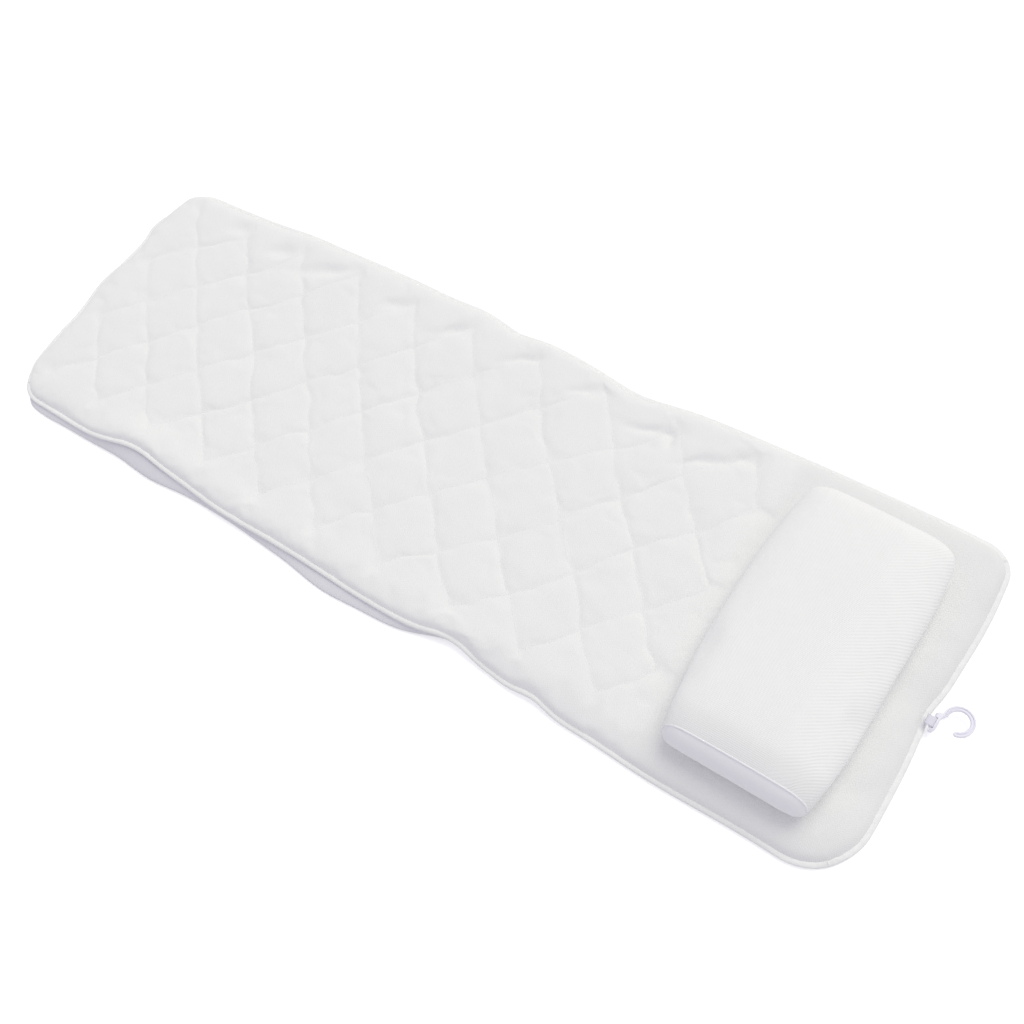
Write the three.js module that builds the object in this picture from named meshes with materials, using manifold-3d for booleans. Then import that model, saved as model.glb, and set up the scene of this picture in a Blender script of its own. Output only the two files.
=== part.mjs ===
// Full-body bath mat with a head pillow: a quilted mesh mat that stands on suction cups, with a
// pillow held by touch-fastener tape and a plastic hook for hanging the mat up to dry.
// Millimetres, +Z up, floor at z = 0. The mat lies along X with its head end towards +X.
import * as THREE from "three";
import { mergeVertices } from "three/addons/utils/BufferGeometryUtils.js";
import Module from "manifold-3d";

const wasm = await Module();
wasm.setup();

// Mat, measured over its edge binding
const matLength = 1240;
const matWidth = 400;
const cornerRadius = 55;
const foldFromHead = 607; // head end to the line where the mat folds up the tub's sloping end
const foldGap = 0.4;

// Clearances shared by all pieces
const fabricGap = 0.3; // between layers that lie on each other
const overrun = 3; // how far a cutting shape passes the faces that it cuts
const weldDistance = 1e-4; // corners closer than this are one corner
const leastRadius = 1; // smallest corner radius of an outline drawn in

// Mat layers, from the floor up
const cupHeight = 6.5; // floor to the underside of the base cover
const baseThickness = 1.4;
const coreThickness = 5;
const coreInset = 22; // mat edge to core edge
const quiltThickness = 3; // quilted fabric over the core, along the stitching
const puffRise = 6.5; // rise of a diamond's middle over its stitching
const plainRiseShare = 0.35; // rise of the unquilted head end, as a share of puffRise
const puffPower = 0.7; // below 1 makes the diamonds fuller
const quiltRim = 2.5; // thickness of the quilt where the binding holds it
const edgeRoll = 30; // width over which the mat's edge rounds up to full thickness
const rollShares = [0.12, 0.3, 0.6]; // extra grid lines between the mat's edge and the points

// Diamond quilting: a grid of crossing stitch lines that ends in points on every side
const diamondLength = 101; // along X
const diamondWidth = 108; // along Y
const footMargin = 27; // foot end to the first points
const headPlain = 253; // unquilted length at the head end
const sideMargin = 38; // mat edge to the points, on average
const quiltShift = 9; // the quilting lies this far off centre, towards +Y

// Edge binding: tape folded round the rims of the quilt and the base cover
const bindingWidth = 8; // how far it covers each face
const bindingThickness = 1;
const bindingEdge = 0.4; // size of its eased edges

// Suction cups
const cupRowCounts = [3, 2, 3, 3, 2, 3]; // cups in each row, from the foot end
const cupEndMargin = 60; // mat end to the middle of the first row
const cupSideMargin = 62; // mat side to the outermost cups
const cupRadius = 17;
const cupLip = 2.2; // width of the flat ring that meets the floor
const cupEdge = 0.9; // thickness of the cup's rim
const cupHollow = 2.4; // depth of the hollow
const cupCrown = 1.8; // wall over the hollow
const hollowShares = [2 / 3, 0.8]; // a point of the hollow, of its radius and of its depth
const cupCollarRadius = 5;
const cupNeckRadius = 2.6;
const cupHeadRadius = 5.5;
const cupHeadThickness = 1.2;
const cupSides = 12;

// Pillow
const pillowWidth = 176; // along X, at its middle
const pillowLength = 316; // along Y
const pillowHeight = 60; // base to crown
const pillowFromHead = 137; // head end to the pillow's middle
const pillowTurn = -2; // degrees; the pillow lies a little askew
const pillowTopRadius = 26;
const pillowBaseRadius = 16;
const pillowCrown = 8; // rise of the top between its rounded edges
const pillowEndDrop = 13; // how much lower the top is at the ends
const pillowEndLift = 9; // how far the base curls up at the ends
const pillowEndTaper = 12; // how far each long side draws in at the ends
const pillowEndLean = 10; // how far the end faces lean in towards the top
const pillowLiftShare = 0.66; // share of the half length at which the base starts to curl up
const topRadiusShare = 0.58; // most of an end's height that the top's rounding takes
const baseRadiusShare = 0.38; // most of an end's height that the base's rounding takes
const pillowFabric = 1.5;
const seamRadius = 1.3; // cord in the seam round each end panel
const stationShares = [-1, -0.93, -0.8, -0.6, -0.32, 0, 0.32, 0.6, 0.8, 0.93, 1];
const topSpans = 6; // across the top between its rounded edges
const arcSpans = 4; // round each rounded edge

// Touch-fastener tapes, one pair on the mat and the mating pair on the pillow
const tapeWidth = 25;
const tapeLength = 190;
const tapeThickness = 1.5;
const tapeSpacing = 70; // between the middles of the pair

// Hanging hook, and the tape loop that holds its bar
const hookThickness = 4;
const hookBarRadius = 1.3;
const hookBaseWidth = 21; // along Y
const hookSlotWidth = 12.6;
const hookFrame = 2.4; // wall of the base beyond its slot
const hookWidth = 5; // width of the shank and the curl
const hookCurlRadius = 13.3; // to the middle of the curl
const hookCurlReach = 20.7; // bar's axis to the curl's middle, along X
const hookCurlOffset = 13; // middle of the base to the curl's middle, along Y
const hookTipAngle = -78; // where the curl ends, in degrees from +X
const hookGrooveWidth = 1.6;
const hookGrooveDepth = 0.9;
const hookEdge = 0.5; // size of its eased edges
const hookY = -6; // middle of the base, along Y
const loopWidth = 11;
const loopThickness = 0.8;
const loopPlay = 0.2; // between the bar and the tape round it
const loopClearance = 0.4; // between the tape and the mat's end

// Levels and places that follow from the sizes above
const baseTop = cupHeight + baseThickness;
const quiltBottom = baseTop + fabricGap;
const coreTop = quiltBottom + coreThickness;
const valleyTop = coreTop + fabricGap + quiltThickness;
const plainTop = valleyTop + plainRiseShare * puffRise;
const crownTop = valleyTop + puffRise;
const rimTop = quiltBottom + quiltRim;
const rimInset = bindingThickness + fabricGap;
const bindingBottom = cupHeight - fabricGap - bindingThickness;
const bindingTop = rimTop + fabricGap + bindingThickness;
const pillowX = matLength / 2 - pillowFromHead;
const matTapeBottom = plainTop + fabricGap;
const pillowTapeBottom = matTapeBottom + tapeThickness + fabricGap;
const pillowBottom = pillowTapeBottom + tapeThickness + fabricGap;
const loopBore = hookBarRadius + loopPlay;
const loopRadius = loopBore + loopThickness;
const hookLevel = bindingTop + fabricGap + loopThickness - loopRadius;
const hookBarReach = loopRadius + loopClearance;
const hookX = matLength / 2 + hookBarReach;
const hookReach = hookBarReach + hookCurlReach + hookCurlRadius + hookWidth / 2;

// The quilting's counts and extents. The length takes an odd number of half diamonds, so that
// the points at both ends lie inside the outline.
const halfLength = diamondLength / 2;
const halfWidth = diamondWidth / 2;
const freeLength = matLength - footMargin - headPlain + fabricGap;
const lengthCount = Math.floor((freeLength / halfLength - 1) / 2) * 2 + 1;
const widthCount = Math.floor((matWidth - 2 * sideMargin + fabricGap) / diamondWidth) * 2;
const quiltStart = footMargin - matLength / 2;
const quiltEnd = quiltStart + lengthCount * halfLength;
const quiltSide = (widthCount / 2) * halfWidth;

// The fold runs along a row of stitching
const foldColumn = Math.round((matLength - foldFromHead - footMargin) / halfLength);
const foldX = quiltStart + foldColumn * halfLength;

// Finishes
const meshWhite = new THREE.MeshStandardMaterial({ color: 0xecece9, roughness: 0.95 });
const quiltWhite = new THREE.MeshStandardMaterial({ color: 0xe8e8e6, roughness: 0.97 });
const smoothKnit = new THREE.MeshStandardMaterial({ color: 0xd9d9e2, roughness: 0.9 });
const tapeWhite = new THREE.MeshStandardMaterial({ color: 0xefeff2, roughness: 0.85 });
const coreFibre = new THREE.MeshStandardMaterial({ color: 0xf2f0ea, roughness: 1 });
const cupVinyl = new THREE.MeshStandardMaterial({ color: 0xd6dde1, roughness: 0.25 });
const hookPlastic = new THREE.MeshStandardMaterial({ color: 0xe3e1f3, roughness: 0.35 });

// A closed geometry as a solid that can be cut and joined
function solidFrom(geometry) {
  const bare = geometry.index ? geometry.toNonIndexed() : geometry.clone();
  bare.deleteAttribute("normal");
  bare.deleteAttribute("uv");
  const merged = mergeVertices(bare, weldDistance);
  return new wasm.Manifold(
    new wasm.Mesh({
      numProp: 3,
      vertProperties: merged.attributes.position.array,
      triVerts: new Uint32Array(merged.index.array),
    }),
  );
}

// A solid as a named mesh
function meshFrom(solid, name, material) {
  const { numProp, numVert, vertProperties, triVerts } = solid.getMesh();
  const points = new Float32Array(numVert * 3);
  for (let i = 0; i < numVert; i++) {
    points.set(vertProperties.subarray(i * numProp, i * numProp + 3), i * 3);
  }
  const geometry = new THREE.BufferGeometry();
  geometry.setAttribute("position", new THREE.BufferAttribute(points, 3));
  geometry.setIndex(new THREE.BufferAttribute(triVerts, 1));
  geometry.computeVertexNormals();
  const mesh = new THREE.Mesh(geometry, material);
  mesh.name = name;
  return mesh;
}

// A closed solid from corner positions and triangles
function solidFromFaces(positions, index) {
  const geometry = new THREE.BufferGeometry();
  geometry.setAttribute("position", new THREE.Float32BufferAttribute(positions, 3));
  geometry.setIndex(index);
  return solidFrom(geometry);
}

function box(x0, x1, y0, y1, z0, z1) {
  const geometry = new THREE.BoxGeometry(x1 - x0, y1 - y0, z1 - z0);
  geometry.translate((x0 + x1) / 2, (y0 + y1) / 2, (z0 + z1) / 2);
  return solidFrom(geometry);
}

// An upright cylinder
function post(x, y, radius, z0, z1) {
  const geometry = new THREE.CylinderGeometry(radius, radius, z1 - z0, cupSides);
  geometry.rotateX(Math.PI / 2);
  geometry.translate(x, y, (z0 + z1) / 2);
  return solidFrom(geometry);
}

// An upright prism on a shape, with its edges eased by a small bevel
function prism(shape, z0, z1, edge = 0) {
  const geometry = new THREE.ExtrudeGeometry(shape, {
    depth: z1 - z0 - 2 * edge,
    curveSegments: 8,
    bevelEnabled: edge > 0,
    bevelThickness: edge,
    bevelSize: edge,
    bevelOffset: -edge,
    bevelSegments: 1,
  });
  geometry.translate(0, 0, z0 + edge);
  return solidFrom(geometry);
}

// The mat's outline, drawn in by a distance
function matOutline(inset) {
  const a = matLength / 2 - inset;
  const b = matWidth / 2 - inset;
  const r = Math.max(cornerRadius - inset, leastRadius);
  const outline = new THREE.Shape();
  outline.absarc(a - r, b - r, r, 0, Math.PI / 2);
  outline.absarc(r - a, b - r, r, Math.PI / 2, Math.PI);
  outline.absarc(r - a, r - b, r, Math.PI, Math.PI * 1.5);
  outline.absarc(a - r, r - b, r, Math.PI * 1.5, Math.PI * 2);
  return outline;
}

// Distance from a point in to the mat's outline
function insetAt(x, y) {
  const qx = Math.abs(x) - (matLength / 2 - cornerRadius);
  const qy = Math.abs(y) - (matWidth / 2 - cornerRadius);
  const outside = Math.hypot(Math.max(qx, 0), Math.max(qy, 0));
  return cornerRadius - outside - Math.min(Math.max(qx, qy), 0);
}

// How full the quilt is at a point, from 0 on a stitch line to 1 in the middle of a diamond
function puffAt(x, y) {
  const u = (THREE.MathUtils.clamp(x, quiltStart, quiltEnd) - quiltStart) / halfLength;
  const v = THREE.MathUtils.clamp(y - quiltShift, -quiltSide, quiltSide) / halfWidth;
  const across = Math.abs(Math.cos((Math.PI / 2) * (u + v)));
  const back = Math.abs(Math.cos((Math.PI / 2) * (u - v)));
  const stitched = (across * back) ** puffPower;
  const beyondSide = Math.max(Math.abs(y - quiltShift) - quiltSide, quiltStart - x, 0);
  const beyondHead = Math.max(x - quiltEnd, 0);
  const side = THREE.MathUtils.smoothstep(beyondSide, 0, halfWidth / 4);
  const head = THREE.MathUtils.smoothstep(beyondHead, 0, halfLength / 2);
  return THREE.MathUtils.lerp(THREE.MathUtils.lerp(stitched, 1, side), plainRiseShare, head);
}

function quiltHeight(x, y) {
  const along = THREE.MathUtils.clamp((insetAt(x, y) - bindingWidth) / edgeRoll, 0, 1);
  const swell = Math.sqrt(1 - (1 - along) ** 2);
  return rimTop + (valleyTop + puffRise * puffAt(x, y) - rimTop) * swell;
}

// Grid lines at quarter diamonds, with closer ones where the edge rounds
function quiltLines(low, first, last, high, step) {
  const lines = [low - overrun];
  for (const share of rollShares) lines.push(low + (first - low) * share);
  for (let i = 0; i <= Math.round((last - first) / step); i++) lines.push(first + i * step);
  for (const share of [...rollShares].reverse()) lines.push(high - (high - last) * share);
  lines.push(high + overrun);
  return lines;
}

// Grid lines along the mat: the plain head end needs only a few
function lengthwiseLines() {
  const step = halfLength / 2;
  const end = matLength / 2;
  const rollStart = end - bindingWidth - edgeRoll;
  const stitched = quiltLines(-end, quiltStart, quiltEnd, end, step);
  const lines = stitched.filter((x) => x <= quiltEnd + fabricGap || x >= end);
  lines.push(quiltEnd + step, rollStart, (rollStart + end) / 2, end - bindingWidth);
  return lines.sort((a, b) => a - b);
}

// A closed block on a grid: its top follows a height field and its base is flat
function heightBlock(xs, ys, heightAt, base, splitBack) {
  const positions = [];
  for (const x of xs) for (const y of ys) positions.push(x, y, heightAt(x, y));
  const under = positions.length / 3;
  for (const x of xs) for (const y of ys) positions.push(x, y, base);
  const index = [];
  const at = (i, j) => i * ys.length + j;
  const quad = (a, b, c, d) => index.push(a, b, c, a, c, d);
  const wall = (a, b) => quad(a + under, b + under, b, a);
  const lastX = xs.length - 1;
  const lastY = ys.length - 1;
  for (let i = 0; i < lastX; i++) {
    for (let j = 0; j < lastY; j++) {
      const [a, b, c, d] = [at(i, j), at(i + 1, j), at(i + 1, j + 1), at(i, j + 1)];
      if (splitBack(i, j)) quad(b, c, d, a);
      else quad(a, b, c, d);
      quad(a + under, d + under, c + under, b + under);
    }
    wall(at(i, 0), at(i + 1, 0));
    wall(at(i + 1, lastY), at(i, lastY));
  }
  for (let j = 0; j < lastY; j++) {
    wall(at(0, j + 1), at(0, j));
    wall(at(lastX, j), at(lastX, j + 1));
  }
  return solidFromFaces(positions, index);
}

// The quilted top, hollowed for the core, with a flat rim for the binding to hold
function quiltSolid() {
  const low = quiltShift - quiltSide;
  const high = quiltShift + quiltSide;
  const xs = lengthwiseLines();
  const ys = quiltLines(-matWidth / 2, low, high, matWidth / 2, halfWidth / 2);
  const leadX = xs.indexOf(quiltStart);
  const leadY = ys.indexOf(low);
  // Each cell is split along the stitch line that crosses it
  const splitBack = (i, j) => (i - leadX + j - leadY + widthCount) % 2 !== 0;
  const block = heightBlock(xs, ys, quiltHeight, quiltBottom - overrun, splitBack);
  const clear = crownTop + overrun;
  const held = matOutline(-overrun);
  held.holes.push(matOutline(bindingWidth + fabricGap));
  const pocket = matOutline(coreInset - fabricGap);
  return block
    .intersect(prism(matOutline(rimInset), quiltBottom, clear))
    .subtract(prism(held, rimTop, clear + overrun))
    .subtract(prism(pocket, quiltBottom - overrun, coreTop + fabricGap));
}

// Middles of the suction cups, row by row from the foot end
function cupPlaces() {
  const places = [];
  const rowStep = (matLength - 2 * cupEndMargin) / (cupRowCounts.length - 1);
  const sideReach = matWidth / 2 - cupSideMargin;
  cupRowCounts.forEach((count, row) => {
    const x = cupEndMargin - matLength / 2 + row * rowStep;
    const reach = (sideReach * (count - 1)) / (Math.max(...cupRowCounts) - 1);
    for (let k = 0; k < count; k++) places.push([x, (2 * reach * k) / (count - 1) - reach]);
  });
  return places;
}

// The base cover, with an eyelet for each suction cup's neck
function baseSolid() {
  let sheet = prism(matOutline(rimInset), cupHeight, baseTop);
  const radius = cupNeckRadius + fabricGap;
  for (const [x, y] of cupPlaces()) {
    sheet = sheet.subtract(post(x, y, radius, cupHeight - overrun, baseTop + overrun));
  }
  return sheet;
}

// The spacer core, with a recess over each suction cup's head
function coreSolid() {
  let slab = prism(matOutline(coreInset), quiltBottom, coreTop);
  const radius = cupHeadRadius + fabricGap;
  const recessTop = quiltBottom + cupHeadThickness + fabricGap;
  for (const [x, y] of cupPlaces()) {
    slab = slab.subtract(post(x, y, radius, quiltBottom - overrun, recessTop));
  }
  return slab;
}

function bindingSolid() {
  const ring = matOutline(0);
  ring.holes.push(matOutline(bindingWidth));
  const low = bindingBottom + bindingThickness;
  const high = bindingTop - bindingThickness;
  const slot = prism(matOutline(bindingThickness), low, high);
  return prism(ring, bindingBottom, bindingTop, bindingEdge).subtract(slot);
}

// A suction cup turned about its own axis: lip, hollow, wall, collar, neck and holding head
function cupGeometry() {
  const shoulder = cupHollow + cupCrown;
  const neckBottom = cupHeight - fabricGap;
  const headBottom = baseTop + fabricGap;
  const headTop = headBottom + cupHeadThickness;
  const mouth = cupRadius - cupLip;
  const profile = [
    [0, cupHollow],
    [mouth * hollowShares[0], cupHollow * hollowShares[1]],
    [mouth, 0],
    [cupRadius, 0],
    [cupRadius, cupEdge],
    [(cupRadius + cupCollarRadius) / 2, (shoulder + cupEdge) / 2],
    [cupCollarRadius, shoulder],
    [cupCollarRadius, neckBottom],
    [cupNeckRadius, neckBottom],
    [cupNeckRadius, headBottom],
    [cupHeadRadius, headBottom],
    [cupHeadRadius, headTop],
    [0, headTop],
  ];
  const points = profile.map(([radius, height]) => new THREE.Vector2(radius, height));
  const geometry = new THREE.LatheGeometry(points, cupSides);
  geometry.rotateX(Math.PI / 2);
  return geometry;
}

// A solid through a row of closed sections with equal numbers of points, in order of rising Y
function loft(sections) {
  const count = sections[0].length;
  const positions = sections.flat().flatMap((point) => point.toArray());
  const index = [];
  for (let s = 0; s + 1 < sections.length; s++) {
    for (let k = 0; k < count; k++) {
      const a = s * count + k;
      const b = s * count + ((k + 1) % count);
      index.push(a, b + count, b, a, a + count, b + count);
    }
  }
  const cap = (s, turned) => {
    const flat = sections[s].map((point) => new THREE.Vector2(point.x, point.z));
    for (const face of THREE.ShapeUtils.triangulateShape(flat, [])) {
      const [a, b, c] = face.map((k) => k + s * count);
      index.push(...(turned ? [a, c, b] : [a, b, c]));
    }
  };
  cap(0, false);
  cap(sections.length - 1, true);
  return solidFromFaces(positions, index);
}

// Sections listed outwards from the pillow's middle, lofted on the side that they lie
function loftOutward(sections, side) {
  return loft(side > 0 ? sections : sections.reverse());
}

// A rounded section in the XZ plane: half width, base and top level, and the radii of its top
// and base edges. It starts on the +X side and runs up from there.
function roundedSection(half, bottom, top, topR, baseR) {
  const points = [];
  const corner = (x, z, radius, from) => {
    for (let i = 0; i <= arcSpans; i++) {
      const angle = from + ((Math.PI / 2) * i) / arcSpans;
      points.push([x + radius * Math.cos(angle), z + radius * Math.sin(angle)]);
    }
  };
  corner(half - topR, top - topR, topR, 0);
  for (let i = 1; i < topSpans; i++) points.push([(half - topR) * (1 - (2 * i) / topSpans), top]);
  corner(topR - half, top - topR, topR, Math.PI / 2);
  corner(baseR - half, bottom + baseR, baseR, Math.PI);
  corner(half - baseR, bottom + baseR, baseR, Math.PI * 1.5);
  return points;
}

// The pillow's section at a share of its half length, drawn in by a distance and moved along
// the pillow by another, outwards where that is positive
function pillowSection(share, inset, outward = 0) {
  const end = Math.abs(share);
  const half = pillowWidth / 2 - pillowEndTaper * end ** 3;
  const lift = pillowEndLift * THREE.MathUtils.smoothstep(end, pillowLiftShare, 1);
  const bottom = pillowBottom + lift;
  const top = pillowBottom + pillowHeight - pillowCrown - pillowEndDrop * end ** 4;
  const topR = Math.min(pillowTopRadius, (top - bottom) * topRadiusShare);
  const baseR = Math.min(pillowBaseRadius, (top - bottom) * baseRadiusShare);
  const outline = roundedSection(
    half - inset, bottom + inset, top - inset, topR - inset, baseR - inset,
  );
  const crown = pillowCrown * (1 - end ** 4 / 2);
  return outline.map(([x, z]) => {
    const high = (z - bottom) / (top - bottom);
    const rise = crown * Math.max(1 - (x / half) ** 2, 0) * high;
    const y = share * (pillowLength / 2 - pillowEndLean * high) + Math.sign(share) * outward;
    return new THREE.Vector3(x, y, z + rise);
  });
}

function pillowSolid(inset, outward = 0) {
  const end = Math.max(...stationShares);
  return loft(
    stationShares.map((share) => {
      return pillowSection(share, inset, Math.abs(share) === end ? outward : 0);
    }),
  );
}

// The fabric that wraps the top, long sides and base, open at both ends
function pillowWrap() {
  return pillowSolid(0).subtract(pillowSolid(pillowFabric, overrun));
}

// The seam cord round an end panel, on the end of the wrap
function endSeam(side) {
  const near = fabricGap;
  const far = fabricGap + 2 * seamRadius;
  const cord = [pillowSection(side, 0, near), pillowSection(side, seamRadius / 2, far)];
  const hole = [
    pillowSection(side, 2 * seamRadius, near - overrun),
    pillowSection(side, 2 * seamRadius, far + overrun),
  ];
  return loftOutward(cord, side).subtract(loftOutward(hole, side));
}

// An end panel, which closes the wrap inside the seam cord
function endPanel(side) {
  const inset = 2 * seamRadius + fabricGap;
  const inner = pillowSection(side, inset, fabricGap);
  const outer = pillowSection(side, inset, fabricGap + pillowFabric);
  return loftOutward([inner, outer], side);
}

// The hook's outline in its own frame, with the bar's axis along Y through the origin
function hookOutline() {
  const half = hookBaseWidth / 2;
  const slotHalf = hookSlotWidth / 2;
  const frameReach = loopRadius + fabricGap + hookFrame;
  const tip = THREE.MathUtils.degToRad(hookTipAngle);
  const tipX = hookCurlReach + hookCurlRadius * Math.cos(tip);
  const tipY = hookCurlOffset + hookCurlRadius * Math.sin(tip);
  const inner = hookCurlRadius - hookWidth / 2;
  const outer = hookCurlRadius + hookWidth / 2;
  const outline = new THREE.Shape();
  outline.moveTo(0, -half);
  outline.lineTo(frameReach / 2, -half);
  outline.lineTo(frameReach, -slotHalf);
  outline.lineTo(frameReach, slotHalf);
  outline.absarc(hookCurlReach, hookCurlOffset, inner, Math.PI, tip, true);
  outline.absarc(tipX, tipY, hookWidth / 2, tip - Math.PI, tip, false);
  outline.absarc(hookCurlReach, hookCurlOffset, outer, tip, Math.PI, false);
  outline.lineTo(0, half);
  return outline;
}

// A groove along the middle of the curl
function grooveOutline() {
  const tip = THREE.MathUtils.degToRad(hookTipAngle);
  const inner = hookCurlRadius - hookGrooveWidth / 2;
  const outer = hookCurlRadius + hookGrooveWidth / 2;
  const outline = new THREE.Shape();
  outline.absarc(hookCurlReach, hookCurlOffset, outer, tip, Math.PI, false);
  outline.absarc(hookCurlReach, hookCurlOffset, inner, Math.PI, tip, true);
  return outline;
}

// The hanging hook: a slotted base on its bar, a curl, and a groove in each face
function hookSolid() {
  const half = hookThickness / 2;
  const floor = half - hookGrooveDepth;
  const slotHalf = hookSlotWidth / 2;
  const slotReach = loopRadius + fabricGap;
  const past = half + overrun;
  const bar = new THREE.CylinderGeometry(hookBarRadius, hookBarRadius, hookBaseWidth, cupSides);
  return prism(hookOutline(), -half, half, hookEdge)
    .subtract(box(-overrun, slotReach, -slotHalf, slotHalf, -past, past))
    .subtract(prism(grooveOutline(), floor, past))
    .subtract(prism(grooveOutline(), -past, -floor))
    .add(solidFrom(bar));
}

// The tape loop: round the bar, with its tail sewn down on top of the binding
function loopSolid() {
  const tailEnd = -hookBarReach - bindingWidth + bindingEdge;
  const section = new THREE.Shape();
  section.moveTo(0, loopRadius);
  section.lineTo(tailEnd, loopRadius);
  section.lineTo(tailEnd, loopBore);
  section.lineTo(-loopRadius, loopBore);
  section.absarc(0, 0, loopRadius, Math.PI, Math.PI * 2.5, false);
  const bore = new THREE.Path();
  bore.absarc(0, 0, loopBore, 0, Math.PI * 2);
  section.holes.push(bore);
  const geometry = new THREE.ExtrudeGeometry(section, {
    depth: loopWidth,
    curveSegments: 8,
    bevelEnabled: false,
  });
  geometry.rotateX(Math.PI / 2);
  geometry.translate(0, loopWidth / 2, 0);
  return solidFrom(geometry);
}

// A fastener tape about x, lying on a level
function tapeSolid(x, level) {
  const half = tapeWidth / 2;
  return box(x - half, x + half, -tapeLength / 2, tapeLength / 2, level, level + tapeThickness);
}

// A mat layer as the two sections that lie either side of the fold
function addLayer(group, solid, stem, material) {
  const far = matLength + overrun;
  const edge = foldGap / 2;
  const legs = box(-far, foldX - edge, -matWidth, matWidth, -far, far);
  const back = box(foldX + edge, far, -matWidth, matWidth, -far, far);
  group.add(meshFrom(solid.intersect(legs), `${stem}_leg_section`, material));
  group.add(meshFrom(solid.intersect(back), `${stem}_back_section`, material));
}

function buildMat() {
  const mat = new THREE.Group();
  addLayer(mat, quiltSolid(), "quilted_top", quiltWhite);
  addLayer(mat, coreSolid(), "spacer_core", coreFibre);
  addLayer(mat, baseSolid(), "base_cover", meshWhite);
  addLayer(mat, bindingSolid(), "edge_binding", tapeWhite);
  const cup = cupGeometry();
  cupPlaces().forEach(([x, y], i) => {
    const mesh = new THREE.Mesh(cup, cupVinyl);
    mesh.name = `suction_cup_${String(i + 1).padStart(2, "0")}`;
    mesh.position.set(x, y, 0);
    mat.add(mesh);
  });
  return mat;
}

// A pair of fastener tapes lying on a level
function addTapes(group, level, stem) {
  for (const [x, name] of [[-tapeSpacing / 2, "lower"], [tapeSpacing / 2, "upper"]]) {
    group.add(meshFrom(tapeSolid(x, level), `${stem}_fastener_tape_${name}`, tapeWhite));
  }
}

// The pillow about its own middle. Left and right are those of a bather lying on the mat.
function buildPillow() {
  const pillow = new THREE.Group();
  const core = pillowSolid(pillowFabric + fabricGap);
  pillow.add(meshFrom(pillowWrap(), "pillow_wrap", meshWhite));
  pillow.add(meshFrom(core, "pillow_core", coreFibre));
  for (const [side, name] of [[-1, "left"], [1, "right"]]) {
    pillow.add(meshFrom(endPanel(side), `pillow_end_panel_${name}`, smoothKnit));
    pillow.add(meshFrom(endSeam(side), `pillow_seam_cord_${name}`, smoothKnit));
  }
  addTapes(pillow, pillowTapeBottom, "pillow");
  return pillow;
}

function buildHanger() {
  const hanger = new THREE.Group();
  hanger.add(meshFrom(hookSolid(), "hanging_hook", hookPlastic));
  hanger.add(meshFrom(loopSolid(), "hook_tape_loop", tapeWhite));
  return hanger;
}

// Assembly. The origin is under the middle of the whole object, hook included.
const bathMat = new THREE.Group();
bathMat.position.x = -hookReach / 2;
bathMat.add(buildMat());

const matTapes = new THREE.Group();
matTapes.position.x = pillowX;
addTapes(matTapes, matTapeBottom, "mat");
bathMat.add(matTapes);

const pillow = buildPillow();
pillow.position.x = pillowX;
pillow.rotation.z = THREE.MathUtils.degToRad(pillowTurn);
bathMat.add(pillow);

const hanger = buildHanger();
hanger.position.set(hookX, hookY, hookLevel);
bathMat.add(hanger);

export default bathMat;
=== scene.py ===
import math

import bmesh
import bpy
import numpy as np
from mathutils import Matrix, Vector, noise
from mathutils.bvhtree import BVHTree


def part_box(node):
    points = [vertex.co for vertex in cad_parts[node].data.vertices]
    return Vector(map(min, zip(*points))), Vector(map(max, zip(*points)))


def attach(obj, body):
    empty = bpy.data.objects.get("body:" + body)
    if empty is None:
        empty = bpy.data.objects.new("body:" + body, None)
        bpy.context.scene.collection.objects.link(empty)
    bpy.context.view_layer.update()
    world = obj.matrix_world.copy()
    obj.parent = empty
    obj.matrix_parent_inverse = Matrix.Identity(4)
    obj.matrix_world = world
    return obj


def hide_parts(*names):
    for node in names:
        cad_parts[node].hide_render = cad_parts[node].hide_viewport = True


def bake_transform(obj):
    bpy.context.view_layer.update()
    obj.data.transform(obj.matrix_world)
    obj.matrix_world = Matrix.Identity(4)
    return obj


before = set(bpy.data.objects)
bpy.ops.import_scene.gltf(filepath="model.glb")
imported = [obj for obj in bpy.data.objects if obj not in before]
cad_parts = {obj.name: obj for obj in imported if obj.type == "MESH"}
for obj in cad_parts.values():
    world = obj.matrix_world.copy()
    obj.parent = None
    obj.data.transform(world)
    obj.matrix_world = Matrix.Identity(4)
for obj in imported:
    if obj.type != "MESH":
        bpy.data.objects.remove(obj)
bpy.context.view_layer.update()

# The mat's flat pattern is centred on (MAT_X, 0). Its lengths are in metres.
MAT_X = -0.0196
HALF_LENGTH = 0.620
HALF_WIDTH = 0.200
FOOT_RADIUS = 0.056
BACK_RADIUS = 0.031
FRONT_RADIUS = 0.065

# Levels of the mat's layers
BASE_UNDER = 0.0065
BASE_TOP = 0.0079
BINDING_LEVEL = 0.0086
RIM_LEVEL = 0.0086
SEAM_LEVEL = 0.0163
PUFF = 0.0062
# The pillow presses the cover down to this level, over these half sizes
PRESSED_LEVEL = 0.0189
PRESSED_HALF = (0.078, 0.130)
PRESSED_FADE = 0.02
# The cover's slope down to its rim, longer at the front and shorter at the back
ROLL = 0.034
FRONT_ROLL = 0.004
BACK_ROLL = 0.006

# Air under the cover, its spare cloth, how far it may rise, and how much lower it starts
COVER_AIR = 3.0
COVER_SPARE = 0.010
COVER_RISE = 0.0009
COVER_GIVE = 0.0005
CLOTH_FRAMES = 20

# Diamond quilting, in the pattern
QUILT_START = -0.5755
QUILT_END = 0.3665
QUILT_SIDE = 0.162
QUILT_SHIFT = 0.005
HALVES_ALONG = 19
HALF_DIAMOND = ((QUILT_END - QUILT_START) / HALVES_ALONG, 0.054)
SEAM_UNIT = 1 / math.hypot(1 / HALF_DIAMOND[0], 1 / HALF_DIAMOND[1])
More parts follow.
